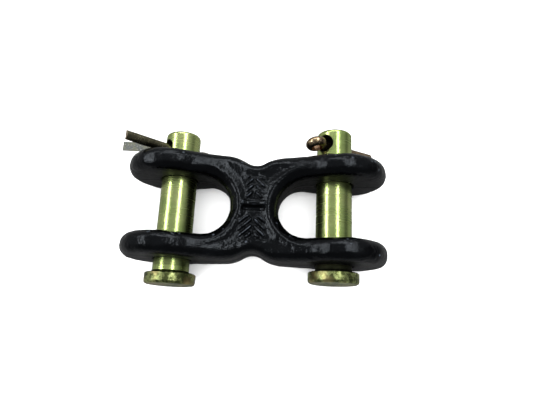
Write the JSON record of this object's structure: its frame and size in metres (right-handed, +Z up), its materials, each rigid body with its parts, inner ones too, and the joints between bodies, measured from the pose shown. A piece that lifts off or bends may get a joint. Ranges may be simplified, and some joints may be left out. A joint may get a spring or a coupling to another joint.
{
  "type": "twin clevis chain link",
  "caption": "Forged double-jaw connector link that joins two lengths of chain, with a headed pin across each jaw locked by a spread split pin.",
  "frame": {"origin": "centre of the footprint on the surface that the link lies on, on its side", "axes": "+X along the line of pull, from the left jaw to the right; +Y along both pins, from their heads to their split pins; +Z up"},
  "size_m": [0.084, 0.0508, 0.0283],
  "materials": {
    "black_enamel": "thick glossy black enamel over a lumpy forging skin",
    "yellow_zinc": "turned steel with yellow-green zinc chromate",
    "bronze_zinc": "drawn wire with brown-bronze zinc, paler on the flat side"
  },
  "bodies": {
    "clevis_body": {"clevis_body": "black_enamel"},
    "pin_left": {"pin_left": "yellow_zinc"},
    "pin_right": {"pin_right": "yellow_zinc"},
    "cotter_left": {"cotter_left": "bronze_zinc"},
    "cotter_right": {"cotter_right": "bronze_zinc"}
  },
  "joints": [
    {"name": "pin_left_spin", "type": "hinge", "parent": "clevis_body", "child": "pin_left", "pos_m": [-0.0235, -0.00145, 0.0138], "axis": [0, 1, 0], "continuous": true},
    {"name": "cotter_left_roll", "type": "hinge", "parent": "pin_left", "child": "cotter_left", "pos_m": [-0.0235, 0.01745, 0.0138], "axis": [-0.788, 0.0017, 0.6157], "range_deg": [-30, 5]},
    {"name": "pin_right_spin", "type": "hinge", "parent": "clevis_body", "child": "pin_right", "pos_m": [0.0259, -0.00145, 0.0138], "axis": [0, 1, 0], "continuous": true},
    {"name": "cotter_right_roll", "type": "hinge", "parent": "pin_right", "child": "cotter_right", "pos_m": [0.0259, 0.0203, 0.0138], "axis": [0.7294, 0.0732, -0.6802], "continuous": true}
  ]
}
